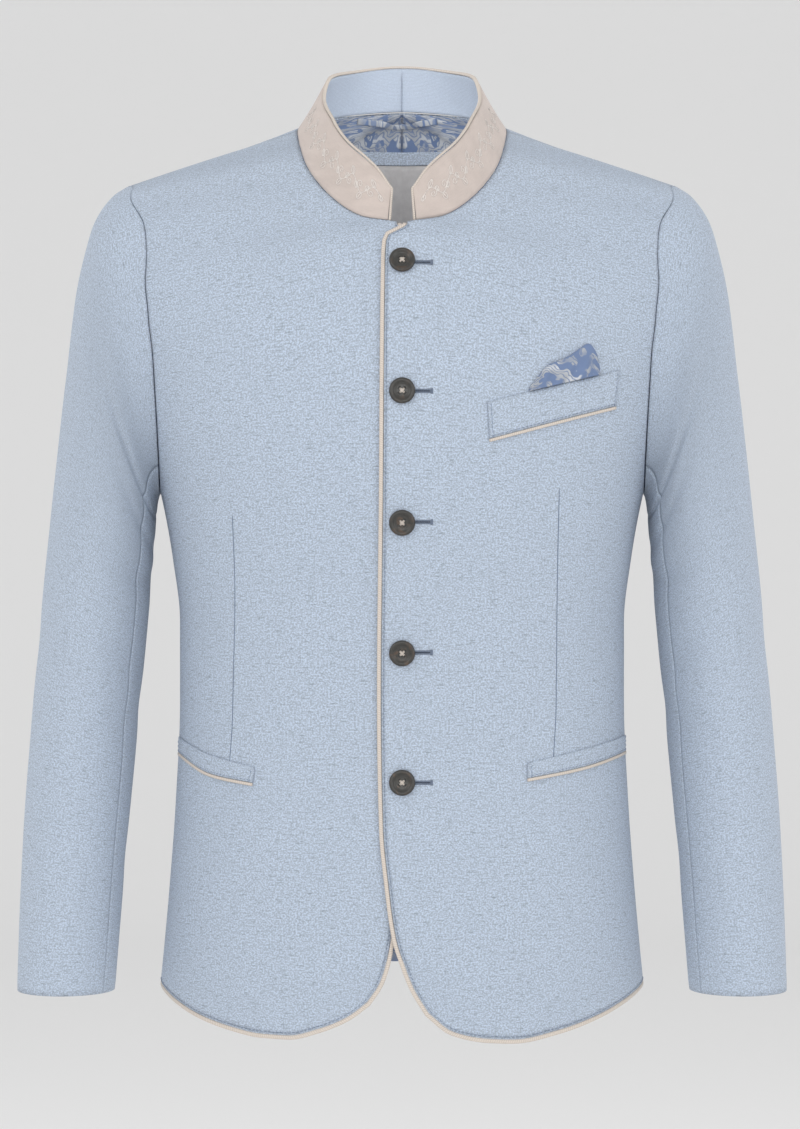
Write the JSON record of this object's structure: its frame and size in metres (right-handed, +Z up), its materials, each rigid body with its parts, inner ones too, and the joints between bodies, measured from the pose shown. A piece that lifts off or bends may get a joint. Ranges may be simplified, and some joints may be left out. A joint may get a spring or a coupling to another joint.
{
  "type": "trachten jacket",
  "caption": "Stand-collar trachten jacket in light blue cloth with a beige collar and piping, buttoned in front, breast and hip pockets, hollow as if worn.",
  "frame": {"origin": "middle of the neck base, level with the side neck points, where the jacket hangs on the wearer", "axes": "+Z up, the front faces -Y, +X is the wearer's left"},
  "size_m": [0.6122, 0.2706, 0.7761],
  "materials": {
    "cloth": "light blue melange linen-look weave, matt",
    "collar": "beige suede-look cloth with tone-on-tone embroidery",
    "facing": "light blue fine check, matt",
    "piping": "flat cream-beige piping, matt",
    "lining": "blue jacquard lining with grey-cream leaves, slight sheen",
    "band": "light blue cloth strip, matt",
    "patch": "plain beige-grey woven label, bare",
    "horn": "dark brown horn look, satin"
  },
  "bodies": {
    "root": {"front_left": "cloth", "front_left_piping": "piping", "front_right": "cloth", "front_right_piping": "piping", "back_left": "cloth", "back_right": "cloth", "sleeve_left_top": "cloth", "sleeve_left_under": "cloth", "sleeve_right_top": "cloth", "sleeve_right_under": "cloth", "collar_outer": "collar", "collar_inner": "facing", "collar_piping": "piping", "chest_welt": "cloth", "chest_piping": "piping", "hip_welt_left": "cloth", "hip_piping_left": "piping", "hip_welt_right": "cloth", "hip_piping_right": "piping", "pocket_puff": "lining", "button_1": "horn", "button_2": "horn", "button_3": "horn", "button_4": "horn", "button_5": "horn", "back_lining_left": "lining", "back_lining_right": "lining", "neck_band": "band", "neck_patch": "patch", "hanger_loop": "lining"}
  },
  "joints": []
}
